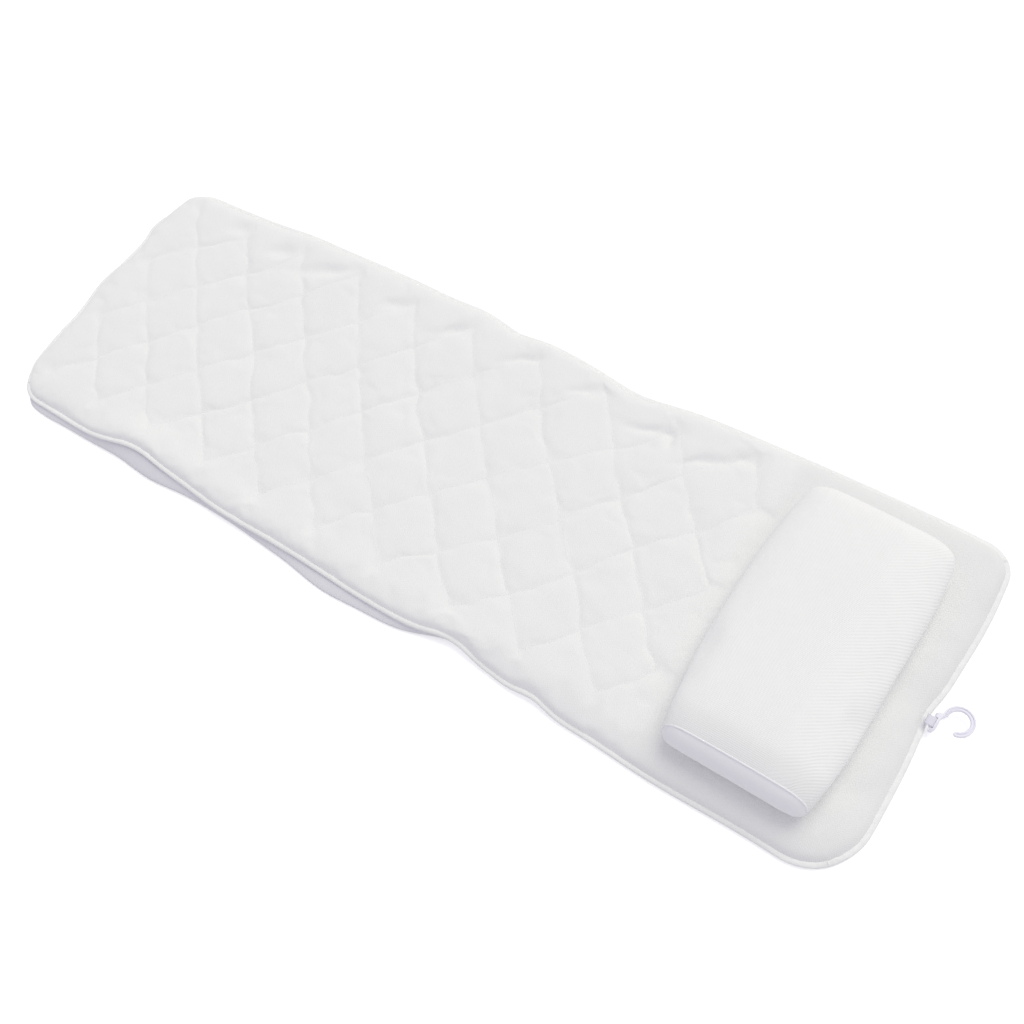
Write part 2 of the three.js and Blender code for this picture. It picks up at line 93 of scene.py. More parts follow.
# Where the quilting has drifted, as (x, y, reach along, reach across, shift along, shift across)
SEAM_DRIFT = (
    (-0.25, 0, 0.11, 1, 0.0080, 0), (0.17, 0, 0.10, 1, 0.0100, 0), (0.16, 0, 0.06, 1, 0, -0.0080),
    (-0.45, 0.17, 0.09, 0.07, 0.0120, -0.0140), (-0.375, 0.17, 0.04, 0.045, 0.0010, 0.0070),
    (-0.17, 0.17, 0.12, 0.045, 0.0070, -0.0040), (0.01, 0.17, 0.06, 0.05, 0.0110, 0.0080),
    (0.115, 0.17, 0.045, 0.045, 0.0020, 0.0120), (0.19, 0.17, 0.07, 0.06, 0.0140, 0.0045),
    (0.32, 0.17, 0.05, 0.045, 0.0100, 0.0060),
)

# How the mat lies: soft bumps along its sides as (place, reach, outward) and (place, reach, up)
BACK_WAVES = (
    (-0.40, 0.05, 0.0030), (-0.25, 0.21, 0.0110), (-0.10, 0.035, 0.0040), (-0.035, 0.024, -0.0035),
    (0.02, 0.05, 0.0030), (0.150, 0.055, -0.0090), (0.42, 0.20, 0.0045),
)
FRONT_WAVES = (
    (-0.42, 0.070, 0.0028), (0.00, 0.085, 0.0038),
    (-0.39, 0.060, -0.0150), (-0.30, 0.050, -0.0050), (0.00, 0.22, -0.0060),
    (0.130, 0.040, -0.0110), (0.190, 0.030, -0.0030), (0.243, 0.026, -0.0060),
    (0.32, 0.05, -0.0020), (0.500, 0.080, -0.0035), (0.42, 0.22, 0.0030),
)
FOOT_WAVES = (
    (0.185, 0.012, 0.0040), (0.155, 0.016, -0.0030), (0.115, 0.020, 0.0060), (0.00, 0.040, 0.0080),
    (-0.10, 0.030, 0.0020), (-0.17, 0.020, -0.0030), (0.00, 0.40, 0.0020),
)
HEAD_WAVES = (
    (0.12, 0.070, 0.0055), (-0.02, 0.030, -0.0020), (0.005, 0.020, -0.0036),
    (-0.17, 0.030, -0.0025), (0.00, 0.40, 0.0025),
)
FRONT_LIFTS = (
    (-0.39, 0.070, 0.0100), (-0.20, 0.30, 0.0030), (0.125, 0.04, 0.0030), (0.243, 0.03, 0.0040),
)
HEAD_DROOP = 0.0050
BASE_BULGES = (
    (-0.49, 0.070, 0.0040), (-0.57, 0.045, 0.0055), (-0.375, 0.060, 0.0180),
    (-0.30, 0.05, 0.0040), (-0.15, 0.05, 0.0035), (-0.05, 0.070, 0.0135), (0.06, 0.05, 0.0075),
)
# The base cover's side from the binding inwards, as
# (share of its reach, inset, share of the bulge, level, share of the binding's level)
BASE_SIDE = (
    (0, 0.003, 0.0, 0.0016, 1.0), (0.12, 0.0015, 0.45, 0.0016, 0.62),
    (0.28, 0.0, 0.85, 0.0016, 0.30), (0.45, 0.001, 1.0, 0.0016, 0.06),
    (0.7, 0.010, 0.5, 0.0035, 0.0), (1, 0.030, 0.0, BASE_UNDER, 0.0),
)
# Folds by the back corners of the quilting, as (x, y, turn, reach along, reach across, depth)
FOLDS = (
    (-0.488, 0.173, 20, 0.018, 0.0060, 0.0052), (-0.409, 0.163, 20, 0.016, 0.0070, 0.0060),
    (-0.313, 0.159, 31, 0.022, 0.0060, 0.0072), (-0.345, 0.148, 25, 0.018, 0.0065, 0.0040),
    (-0.200, 0.153, 31, 0.017, 0.0050, 0.0058), (-0.097, 0.154, 31, 0.017, 0.0050, 0.0056),
    (0.005, 0.157, 31, 0.020, 0.0055, 0.0062), (0.097, 0.155, 31, 0.019, 0.0050, 0.0052),
    (0.184, 0.152, 12, 0.026, 0.0050, 0.0060), (0.216, 0.150, -40, 0.015, 0.0055, 0.0068),
    (0.280, 0.140, 27, 0.030, 0.0050, 0.0066), (0.316, 0.156, 5, 0.012, 0.0050, 0.0046),
)

# Stitches, each as (length, width, height)
STITCH_PITCH = 0.0042
BINDING_STITCH = (0.0026, 0.0007, 0.0006)
QUILTING_STITCH = (0.0027, 0.0008, 0.0007)
STITCH_SINK = 0.0001
STITCH_INSET = 0.0058
ABOVE_ALL = 0.2

# Pillow, about its own middle
PILLOW_X = 0.4634
PILLOW_TURN = math.radians(-2)
PILLOW_HALF = (0.088, 0.158)
PILLOW_BASE = 0.0227
PILLOW_HEIGHT = 0.060
PILLOW_CROWN = 0.009
PILLOW_NEAR_REACH = 0.1665
PILLOW_HEAD_REACH = 0.0925
PILLOW_SKEW = 0.038
# The near end is narrower by this share, and shifted towards the head
NEAR_NARROWING = 0.030
NEAR_SHIFT = 0.0045
# The seam of each end panel lies in a plane, as (y, level) at the panel's top and at its base
NEAR_SEAM = ((-0.1525, 0.0590), (-0.1590, 0.0300))
FAR_SEAM = ((0.1566, 0.0570), (0.1500, 0.0330))
PANEL_THICKNESS = 0.0012
CORD_RADIUS = 0.0011

# Fastener tapes, and the tape loop round the hook's bar
TAPE_HALF = (0.0125, 0.095)
TAPE_BEVEL = 0.0004
HOOK_BAR = (0.6031, 0, 0.0108)
STRAP_RADIUS = 0.0020
STRAP_THICKNESS = 0.0007
STRAP_STEPS = 12
STRAP_WRAP = 1.35

# Camera, as azimuth, elevation and roll in degrees round a point at a distance
CAMERA_TURNS = (54.407, 61.014, -22.81)
CAMERA_POINT = (0.0924, -0.0128, -0.0034)
CAMERA_DISTANCE = 1.26063
CAMERA_LENS = 37.305

# Light and white background
SUN_FROM = (0.30, 1.65, 2.75)
SUN_POWER = 1.12
SUN_COLOUR = (0.985, 0.993, 0.835)
SUN_SPREAD = math.radians(36)
ROOM_COLOUR = (0.93, 0.92, 1.0, 1)
ROOM_POWER = 0.655
FLOOR_GLOW = 0.42
FLOOR_COLOUR = (0.88, 0.88, 0.88, 1)


# Camera

def place_camera():
    azimuth, elevation, roll = (math.radians(a) for a in CAMERA_TURNS)
    back = Vector((
        math.sin(azimuth) * math.cos(elevation),
        -math.cos(azimuth) * math.cos(elevation),
        math.sin(elevation),
    ))
    level = (-back).cross(Vector((0, 0, 1))).normalized()
    rise = level.cross(-back)
    right = level * math.cos(roll) + rise * math.sin(roll)
    up = rise * math.cos(roll) - level * math.sin(roll)
    data = bpy.data.cameras.new("camera")
    data.sensor_width = 36
    data.lens = CAMERA_LENS
    camera = bpy.data.objects.new("camera", data)
    bpy.context.scene.collection.objects.link(camera)
    turn = Matrix((right, up, back)).transposed().to_4x4()
    place = Vector(CAMERA_POINT) + back * CAMERA_DISTANCE
    camera.matrix_world = Matrix.Translation(place) @ turn
    bpy.context.scene.camera = camera


# Meshes

def new_piece(name, mesh, finish, smooth=True):
    piece = bpy.data.objects.new(name, mesh)
    bpy.context.scene.collection.objects.link(piece)
    mesh.materials.clear()
    mesh.materials.append(finish)
    if smooth:
        mesh.polygons.foreach_set("use_smooth", [True] * len(mesh.polygons))
    mesh.update()
    return piece


def mesh_from(bm, name):
    mesh = bpy.data.meshes.new(name)
    bm.to_mesh(mesh)
    bm.free()
    return mesh


def add_wall(piece, thickness, offset):
    """Thickness for a sheet: outwards at 1, on both sides at 0, inwards at -1"""
    wall = piece.modifiers.new("wall", "SOLIDIFY")
    wall.thickness = thickness
    wall.offset = offset


def smooth_out(bm, times):
    for _ in range(times):
        bmesh.ops.smooth_vert(
            bm, verts=bm.verts, factor=0.5, use_axis_x=True, use_axis_y=True, use_axis_z=True,
        )


def places(mesh):
    found = np.empty(len(mesh.vertices) * 3)
    mesh.vertices.foreach_get("co", found)
    return found.reshape(-1, 3)


def move_to(mesh, found):
    mesh.vertices.foreach_set("co", np.ascontiguousarray(found, dtype=np.float32).ravel())
    mesh.update()


def grid_mesh(name, columns, rows):
    """A flat sheet of columns by rows, with the line numbers of each vertex"""
    bm = bmesh.new()
    bmesh.ops.create_grid(bm, x_segments=columns, y_segments=rows, size=1)
    mesh = mesh_from(bm, name)
    found = places(mesh)
    i = np.rint((found[:, 0] + 1) / 2 * columns)
    j = np.rint((found[:, 1] + 1) / 2 * rows)
    return mesh, i, j


def keep_flat_map(mesh, across, along):
    """The piece's UV map holds its cut cloth's own lengths, in metres"""
    layer = mesh.uv_layers.new(name="cloth")
    corner = np.empty(len(mesh.loops), dtype=np.int32)
    mesh.loops.foreach_get("vertex_index", corner)
    pairs = np.stack([across[corner], along[corner]], axis=1).astype(np.float32)
    layer.data.foreach_set("uv", pairs.ravel())


def ease(share):
    share = np.clip(share, 0, 1)
    return share * share * (3 - 2 * share)


def bumps(along, rows):
    return sum(size * np.exp(-(((along - place) / reach) ** 2)) for place, reach, size in rows)


def ripple(x, y, scale, seed):
    spots = zip((x / scale).tolist(), (y / scale).tolist())
    return np.array([noise.noise((a, b, seed)) for a, b in spots])


# The mat's outline and lie

def edge_distance(x, y):
    return np.minimum(HALF_LENGTH - np.abs(x), HALF_WIDTH - np.abs(y))


def lay(x, y):
    """Pattern lengths to places in the object's frame: corners rounded, sides waved"""
    radius = np.where(x < 0, FOOT_RADIUS, np.where(y > 0, BACK_RADIUS, FRONT_RADIUS))
    a = np.abs(x) - (HALF_LENGTH - radius)
    b = np.abs(y) - (HALF_WIDTH - radius)
    inside = np.minimum(a, b) > 0
    share = np.maximum(a, b) / np.maximum(np.hypot(a, b), 1e-9)
    px = np.where(inside, np.sign(x) * (HALF_LENGTH - radius + a * share), x)
    py = np.where(inside, np.sign(y) * (HALF_WIDTH - radius + b * share), y)
    row = px + MAT_X
    near = ease((np.abs(y) - 0.08) / 0.12)
    back = bumps(row, BACK_WAVES) * near * (y > 0)
    front = bumps(row, FRONT_WAVES) * near * (y < 0)
    end = ease((np.abs(x) - 0.50) / 0.12)
    foot = bumps(py, FOOT_WAVES) * end * (x < 0)
    head = bumps(py, HEAD_WAVES) * end * (x > 0)
    return row - foot + head, py + back - front


def edge_lift(x, y):
    """How far the mat's front edge curls up from the floor, less its droop at the head end"""
    near = ease((-y - 0.135) / 0.065)
    calm = 1 - ease((np.abs(x) - 0.55) / 0.07)
    at_front = ease((x - 0.12) / 0.10) * ease((-y - 0.15) / 0.05)
    droop = np.maximum(ease((x - 0.560) / 0.060), at_front)
    return bumps(x + MAT_X, FRONT_LIFTS) * near * calm - HEAD_DROOP * droop


def quilt_phase(x, y):
    """Half diamonds along and across, held at the quilting's sides"""
    u = (np.clip(x, QUILT_START, QUILT_END) - QUILT_START) / HALF_DIAMOND[0]
    v = np.clip(y - QUILT_SHIFT, -QUILT_SIDE, QUILT_SIDE) / HALF_DIAMOND[1]
    return u, v


def on_a_seam(x, y):
    u, v = quilt_phase(x, y)
    in_field = (x > QUILT_START - 0.001) & (x < QUILT_END + 0.001)
    in_field &= np.abs(y - QUILT_SHIFT) < QUILT_SIDE + 0.001
    off = np.minimum(np.abs(np.mod(u + v, 2) - 1), np.abs(np.mod(u - v, 2) - 1))
    return in_field & (off < 0.02)


def seam_rise(away):
    """From 0 on a seam to 1 on a cell's plateau"""
    steep = 1 - (1 - np.minimum(away / 0.012, 1)) ** 2.4
    return 0.72 * steep + 0.28 * np.sin(math.pi / 2 * away / SEAM_UNIT)


def off_seams(x, y):
    """Distances from the nearest seam of each direction"""
    u, v = quilt_phase(x, y)
    return np.abs(np.mod(u + v, 2) - 1) * SEAM_UNIT, np.abs(np.mod(u - v, 2) - 1) * SEAM_UNIT


def puffed(x, y):
    """1 in the middle of a diamond, 0 on its stitching"""
    one, two = off_seams(x, y)
    puff = seam_rise(one) * seam_rise(two)
    beyond = np.maximum(np.abs(y - QUILT_SHIFT) - QUILT_SIDE, QUILT_START - x)
    puff = puff + (1 - puff) * ease(beyond / 0.0135)
    return puff + (0.35 - puff) * ease((x - QUILT_END) / 0.02525)


def roll_to_rim(level, x, y):
    front, back = ease((-y - 0.10) / 0.06), ease((y - 0.12) / 0.04)
    roll = ROLL + FRONT_ROLL * front - BACK_ROLL * back
    along = np.clip((edge_distance(x, y) - 0.005) / roll, 0, 1)
    power = 2 + 0.6 * front + 1.2 * back
    return RIM_LEVEL + (level - RIM_LEVEL) * (1 - (1 - along) ** power) ** (1 / power)


def blend_over_fold(piece):
    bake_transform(piece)


# Finishes

def add_node(tree, kind, inputs=None, **settings):
    node = tree.nodes.new(kind)
    for key, value in settings.items():
        setattr(node, key, value)
    for key, value in (inputs or {}).items():
        if isinstance(value, bpy.types.NodeSocket):
            tree.links.new(value, node.inputs[key])
        else:
            node.inputs[key].default_value = value
    return node


def maths(tree, operation, *values):
    return add_node(tree, "ShaderNodeMath", dict(enumerate(values)), operation=operation).outputs[0]


def new_finish(name, roughness, sheen=0.0):
    finish = bpy.data.materials.new(name)
    finish.use_nodes = True
    tree = finish.node_tree
    shader = tree.nodes["Principled BSDF"]
    shader.inputs["Roughness"].default_value = roughness
    shader.inputs["Sheen Weight"].default_value = sheen
    shader.inputs["Sheen Roughness"].default_value = 0.6
    shader.inputs["Specular IOR Level"].default_value = 0.25
    return finish, tree, shader


def tint(tree, shader, share, low, high):
    """Colour from low to high with share"""
    mix = add_node(tree, "ShaderNodeMix", {0: share, 6: (*low, 1), 7: (*high, 1)}, data_type="RGBA")
    tree.links.new(mix.outputs[2], shader.inputs["Base Color"])


def raise_by(tree, shader, height, distance):
    inputs = {"Height": height, "Distance": distance, "Strength": 1.0}
    bump = add_node(tree, "ShaderNodeBump", inputs)
    tree.links.new(bump.outputs[0], shader.inputs["Normal"])


def cloth_axes(tree):
    source = add_node(tree, "ShaderNodeUVMap", uv_map="cloth")
    split = add_node(tree, "ShaderNodeSeparateXYZ", {0: source.outputs[0]})
    return source.outputs[0], split.outputs[0], split.outputs[1]


def wave(tree, along, pitch):
    turns = maths(tree, "MULTIPLY_ADD", along, 2 * math.pi / pitch, 0.0)
    return maths(tree, "SINE", turns)


def speckle(tree, where, scale, detail):
    inputs = {"Vector": where, "Scale": scale, "Detail": detail}
    return add_node(tree, "ShaderNodeTexNoise", inputs).outputs[0]


def fade(tree, along, start, end, first, last):
    """From first to last, smoothly, as a length passes from start to end"""
    inputs = {0: along, 1: start, 2: end, 3: first, 4: last}
    return add_node(tree, "ShaderNodeMapRange", inputs, interpolation_type="SMOOTHSTEP").outputs[0]


def limited(tree, share, least):
    return maths(tree, "MAXIMUM", maths(tree, "MINIMUM", share, 1.0), least)


def zigzag_ribs(tree, across, along, pitch, stride):
    """Ribs a pitch apart that zigzag at 45 degrees with a stride"""
    sway = maths(tree, "PINGPONG", across, stride / 2)
    return wave(tree, maths(tree, "ADD", along, sway), pitch)


def air_mesh(name, light, shade, pitch, stride, depth, eyelet, flat=None):
    """Knitted spacer mesh: zigzag ribs with rows of small open eyelets, in a duller tone past
    the length called flat"""
    finish, tree, shader = new_finish(name, 0.95, 0.1)
    cloth, across, along = cloth_axes(tree)
    ribs = zigzag_ribs(tree, across, along, pitch, stride)
    holes = maths(tree, "MULTIPLY", wave(tree, across, eyelet), wave(tree, along, eyelet * 1.2))
    fuzz = speckle(tree, cloth, 900.0, 2.0)
    height = maths(tree, "MULTIPLY_ADD", holes, 0.5, ribs)
    height = maths(tree, "MULTIPLY_ADD", fuzz, 0.6, height)
    tone = speckle(tree, cloth, 14.0, 3.0)
    share = maths(tree, "MULTIPLY_ADD", height, 0.16, 0.45)
    share = maths(tree, "MULTIPLY_ADD", tone, 0.4, share)
    if flat:
        share = maths(tree, "SUBTRACT", share, fade(tree, across, flat, flat + 0.03, 0.0, 0.6))
    tint(tree, shader, limited(tree, share, 0.0), shade, light)
    raise_by(tree, shader, height, depth)
    return finish


def ribbed_mesh(name, light, shade, depth):
    """Spacer mesh with a fine diamond knit, and slanted ribs down the side towards the head; it is
    darker towards the near end's seam, as painted shade where the top rolls down to it"""
    finish, tree, shader = new_finish(name, 0.95, 0.1)
    cloth, across, along = cloth_axes(tree)
    ribs = wave(tree, maths(tree, "MULTIPLY_ADD", across, -0.667, along), 0.0041)
    one = wave(tree, maths(tree, "MULTIPLY_ADD", across, 0.58, along), 0.0036)
    two = wave(tree, maths(tree, "MULTIPLY_ADD", across, -0.58, along), 0.0036)
    knit = maths(tree, "MULTIPLY", one, two)
    patchy = speckle(tree, cloth, 70.0, 2.0)
    ribs = maths(tree, "MULTIPLY", ribs, maths(tree, "MULTIPLY", patchy, 1.35))
    side = fade(tree, across, 0.022, 0.052, 0.0, 1.0)
    fuzz = speckle(tree, cloth, 800.0, 2.0)
    height = add_node(tree, "ShaderNodeMix", {0: side, 2: knit, 3: ribs}).outputs[0]
    height = maths(tree, "MULTIPLY_ADD", fuzz, 0.7, height)
    tone = speckle(tree, cloth, 60.0, 3.0)
    share = maths(tree, "MULTIPLY_ADD", height, 0.36, 0.2)
    share = maths(tree, "MULTIPLY_ADD", tone, 0.5, share)
    # Painted shade: darker over the last 36 mm of the top before the near end's seam
    share = maths(tree, "SUBTRACT", share, fade(tree, along, -0.152, -0.116, 1.5, 0.0))
    tint(tree, shader, limited(tree, share, -0.8), shade, light)
    raise_by(tree, shader, height, depth)
    return finish


def woven(name, light, shade, pitch, depth, patch=0.0, painted_shade=()):
    """Plain woven tape or close knit, with soft patches of tone, and painted shade that makes it
    greyer over the listed runs of its length
    """
    finish, tree, shader = new_finish(name, 0.9, 0.2)
    cloth, across, along = cloth_axes(tree)
    weave = maths(tree, "MULTIPLY", wave(tree, across, pitch), wave(tree, along, pitch))
    fuzz = speckle(tree, cloth, 700.0, 2.0)
    height = maths(tree, "MULTIPLY_ADD", fuzz, 0.8, weave)
    tone = speckle(tree, cloth, 130.0, 2.0)
    share = maths(tree, "MULTIPLY_ADD", height, 0.3, 0.4 - 0.5 * patch)
    share = maths(tree, "MULTIPLY_ADD", tone, patch, share)
    # Painted shade: each listed run shifts the tone by its change, smoothly from its start to its
    # end
    for start, end, change in painted_shade:
        share = maths(tree, "ADD", share, fade(tree, across, start, end, 0.0, change))
    tint(tree, shader, limited(tree, share, -1.0 if painted_shade else 0.0), shade, light)
    raise_by(tree, shader, height, depth)
    return finish


def moulded(name, light, shade, roughness, scale, transmission=0.0):
    finish, tree, shader = new_finish(name, roughness)
    shader.inputs["Specular IOR Level"].default_value = 0.5
    shader.inputs["Transmission Weight"].default_value = transmission
    where = add_node(tree, "ShaderNodeTexCoord").outputs["Object"]
    cloud = speckle(tree, where, scale, 3.0)
    fine = speckle(tree, where, 2600.0, 2.0)
    tint(tree, shader, cloud, shade, light)
    raise_by(tree, shader, fine, 0.00003)
    return finish


def make_finishes():
    return {
        "quilt": air_mesh(
            "quilted_mesh", (0.93, 0.93, 0.93), (0.86, 0.86, 0.86),
            0.0030, 0.0060, 0.00005, 0.0021, QUILT_END,
        ),
        # The base cover's own lavender grey, made a little darker as painted shade for its side
        # seen below the front binding
        "base": air_mesh(
            "base_mesh", (0.825, 0.815, 0.86), (0.765, 0.755, 0.805),
            0.0028, 0.0056, 0.00008, 0.0020,
        ),
        "pillow": ribbed_mesh("pillow_mesh", (0.982, 0.98, 0.976), (0.912, 0.91, 0.907), 0.00013),
        "knit": woven("pillow_knit", (0.93, 0.925, 0.955), (0.89, 0.885, 0.92), 0.0011, 0.00005),
        "tape": woven(
            "binding_tape", (0.99, 0.99, 0.99), (0.925, 0.925, 0.925), 0.0016, 0.00010,
            # Painted shade on the binding's front side, from about 0.2 m to 1.1 m round from its
            # foot front corner
            patch=1.4, painted_shade=((0.20, 0.45, -1.0), (1.08, 1.20, 1.0)),
        ),
        "strap": woven("hook_tape", (0.86, 0.85, 0.93), (0.78, 0.77, 0.88), 0.0009, 0.00006),
        "fastener": woven(
            "fastener_tape", (0.95, 0.95, 0.95), (0.87, 0.87, 0.88), 0.0013, 0.00020,
        ),
        "vinyl": moulded("cup_vinyl", (0.82, 0.86, 0.88), (0.74, 0.79, 0.82), 0.2, 30.0, 0.35),
        "hook": moulded("hook_plastic", (0.86, 0.85, 0.94), (0.81, 0.80, 0.91), 0.3, 60.0),
    }


def plain_thread():
    finish, tree, shader = new_finish("sewing_thread", 0.8, 0.3)
    where = add_node(tree, "ShaderNodeTexCoord").outputs["Object"]
    tint(tree, shader, speckle(tree, where, 1500.0, 1.0), (0.85, 0.85, 0.88), (0.95, 0.95, 0.96))
    return finish


# Mat pieces

# Lines of the cover's grid, as (number, place): the quilting's corners all lie on its crossings
COVER_COLUMNS = ((0, 8, 198, 247), (-0.616, QUILT_START, QUILT_END, 0.616))
COVER_ROWS = (
    (0, 9, 69, 75),
    (-0.196, QUILT_SHIFT - QUILT_SIDE, QUILT_SHIFT + QUILT_SIDE, 0.196),
)


def cover_sheet():
    columns, rows = COVER_COLUMNS[0][-1], COVER_ROWS[0][-1]
    mesh, i, j = grid_mesh("quilted_cover", columns, rows)
    x, y = np.interp(i, *COVER_COLUMNS), np.interp(j, *COVER_ROWS)
    return mesh, x, y


def unevenly_sewn(x, y):
    """Pattern points moved as the quilting wanders"""
    calm = ease(edge_distance(x, y) / 0.04)
    along = 0.0055 * ripple(x, y, 0.060, 3.1) + 0.0042 * ripple(x, y, 0.019, 5.3)
    across = 0.0055 * ripple(x, y, 0.060, 8.4) + 0.0042 * ripple(x, y, 0.019, 9.7)
    for at_x, at_y, long, wide, shift_x, shift_y in SEAM_DRIFT:
        share = np.exp(-(((x - at_x) / long) ** 2) - ((y - at_y) / wide) ** 2)
        along, across = along + shift_x * share, across + shift_y * share
    return x + along * calm, y + across * calm


def add_cloth(body, pressure, quality, tension, bending):
    """Weightless cloth, drawn out by the air on its inside"""
    cloth = body.modifiers.new("cloth", "CLOTH")
    settings = cloth.settings
    settings.quality = quality
    settings.use_pressure = True
    settings.uniform_pressure_force = pressure
    settings.effector_weights.gravity = 0
    settings.tension_stiffness = tension
    settings.bending_stiffness = bending
    cloth.point_cache.frame_start, cloth.point_cache.frame_end = 1, CLOTH_FRAMES
    return cloth


def after_cloth(body):
    for number in range(1, CLOTH_FRAMES + 1):
        bpy.context.scene.frame_set(number)
    graph = bpy.context.evaluated_depsgraph_get()
    return places(body.evaluated_get(graph).data)


def blow_up(mesh, held):
    """Air under the cover, which its stitching holds down: the moved places, limited in height"""
    before = places(mesh)
    body = bpy.data.objects.new("cover_cloth", mesh)
    bpy.context.scene.collection.objects.link(body)
    group = body.vertex_groups.new(name="sewn")
    weights = np.round(held, 2)
    for weight in sorted(set(weights)):
        if weight > 0:
            group.add(np.flatnonzero(weights == weight).tolist(), float(weight), "REPLACE")
    cloth = add_cloth(body, COVER_AIR, 6, 20, 0.6)
    settings = cloth.settings
    settings.mass = 0.15
    settings.vertex_group_mass = "sewn"
    settings.shrink_min = -COVER_SPARE
    settings.compression_stiffness = 20
    settings.shear_stiffness = 8
    settings.air_damping = 2
    cloth.collision_settings.use_collision = False
    after = after_cloth(body)
    bpy.context.scene.frame_set(1)
    bpy.data.objects.remove(body)
    step = after - before
    step[:, 2] = COVER_RISE * np.tanh(step[:, 2] / COVER_RISE)
    return before + step * np.array([0.7, 0.7, 1.0])


def press_folds(mesh, x, y):
    """The folds by the back corners of the quilting"""
    found = places(mesh)
    for at_x, at_y, turn, long, wide, depth in FOLDS:
        lean = math.radians(turn)
        along = (x - at_x) * math.cos(lean) + (y - at_y) * math.sin(lean)
        across = (y - at_y) * math.cos(lean) - (x - at_x) * math.sin(lean)
        found[:, 2] -= depth * np.exp(-((along / long) ** 2) - (across / wide) ** 2)
    move_to(mesh, found)


def crease_seams(mesh, seam):
    """Edges laid along the stitching and creased, and the sheet's rim turned down"""
    bm = bmesh.new()
    bm.from_mesh(mesh)
    bm.verts.ensure_lookup_table()
    sewn = [bm.verts[k] for k in np.flatnonzero(seam)]
    bmesh.ops.connect_verts(bm, verts=sewn)
    crease = bm.edges.layers.float.new("crease_edge")
    on = set(sewn)
    for edge in bm.edges:
        if edge.verts[0] in on and edge.verts[1] in on:
            edge[crease] = 0.6
    hem(bm, 0.0015)
    bm.to_mesh(mesh)
    bm.free()


def build_cover(finish):
    mesh, x, y = cover_sheet()
    wx, wy = unevenly_sewn(x, y)
    one, two = off_seams(x, y)
    puff = puffed(x, y)
    seam = on_a_seam(x, y)
    plain = ease((x - QUILT_END - 0.004) / 0.02)
    edge = edge_distance(x, y)
    pull = np.exp(-(one**2 + two**2) / 0.017**2)
    relief = np.clip(0.16 + 0.32 * pull + 0.34 * ripple(x, y, 0.045, 12.5), 0.03, 1)
    level = SEAM_LEVEL + PUFF * (1 - (1 - puff) * relief) - COVER_GIVE * (1 - plain)
    lumps = 0.0006 * ripple(x, y, 0.024, 1.7) + 0.0008 * ripple(x, y, 0.055, 6.2)
    level += lumps * (1 - seam) * (1 - 0.6 * plain)
    px, py = lay(wx, wy)
    under = ease((PRESSED_HALF[0] - np.abs(px - PILLOW_X)) / PRESSED_FADE)
    under = under * ease((PRESSED_HALF[1] - np.abs(py)) / PRESSED_FADE)
    level += (PRESSED_LEVEL - level) * under
    move_to(mesh, np.stack([px, py, roll_to_rim(level, x, y) + edge_lift(x, y)], axis=1))
    held = np.maximum(np.where(seam, 1.0, 0.0), np.where(edge < 0.006, 1.0, 0.0))
    held = np.maximum(held, plain)
    move_to(mesh, blow_up(mesh, held))
    press_folds(mesh, x, y)
    keep_flat_map(mesh, x, y)
    crease_seams(mesh, seam)
    piece = new_piece("quilted_cover", mesh, finish)
    fine = piece.modifiers.new("fine", "SUBSURF")
    fine.levels = fine.render_levels = 1
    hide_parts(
        "quilted_top_leg_section", "quilted_top_back_section",
        "spacer_core_leg_section", "spacer_core_back_section",
    )
    return piece


def hem(bm, depth):
    """Turns the sheet's rim down inside the binding"""
    rim = [e for e in bm.edges if e.is_boundary]
    made = bmesh.ops.extrude_edge_only(bm, edges=rim)["geom"]
    low = [v for v in made if isinstance(v, bmesh.types.BMVert)]
    bmesh.ops.translate(bm, verts=low, vec=(0, 0, -depth))


def line_places(number, count, half, rings, step):
    """Lines close together at both sides and evenly spread between"""
    side = np.minimum(number, count - number)
    inner = half - rings * step
    middle = (number - rings) / (count - 2 * rings) * 2 * inner - inner
    near = np.where(number < count / 2, -half + side * step, half - side * step)
    return np.where(side < rings, near, middle)


def slide_ring(own, ring, inset, reach):
    """A vertex's distance from its own side, once its ring has moved to another inset"""
    moved = inset + (own - ring) * (reach - inset) / np.maximum(reach - ring, 1e-9)
    return np.where(own < reach, moved, own)


def build_base(finish):
    columns, rows, rings, step = 220, 84, 12, 0.0025
    mesh, i, j = grid_mesh("base_sheet", columns, rows)
    x = line_places(i, columns, HALF_LENGTH, rings, step)
    y = line_places(j, rows, HALF_WIDTH, rings, step)
    reach, ring = rings * step, edge_distance(x, y)
    share = np.clip(ring / reach, 0, 1)
    front = ease((-y - 0.10) / 0.08) * (1 - ease((np.abs(x) - 0.575) / 0.035))
    bulge = -0.003 + (0.005 * (1 - ease((x - 0.03) / 0.09)) + bumps(x + MAT_X, BASE_BULGES)) * front
    stops, insets, bulges, levels, ties = zip(*BASE_SIDE)
    inset = np.interp(share, stops, insets)
    inset -= bulge * np.interp(share, stops, bulges)
    floor = np.interp(share, stops, levels)
    high = np.interp(share, stops, ties)
    qx = np.sign(x) * (HALF_LENGTH - slide_ring(HALF_LENGTH - np.abs(x), ring, inset, reach))
    qy = np.sign(y) * (HALF_WIDTH - slide_ring(HALF_WIDTH - np.abs(y), ring, inset, reach))
    px, py = lay(qx, qy)
    level = floor + (BINDING_LEVEL - 0.001 + edge_lift(x, y) - floor) * high
    move_to(mesh, np.stack([px, py, level], axis=1))
    keep_flat_map(mesh, x, y)
    piece = new_piece("base_sheet", mesh, finish)
    add_wall(piece, BASE_TOP - BASE_UNDER, 1)
    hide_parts("base_cover_leg_section", "base_cover_back_section")
    return piece


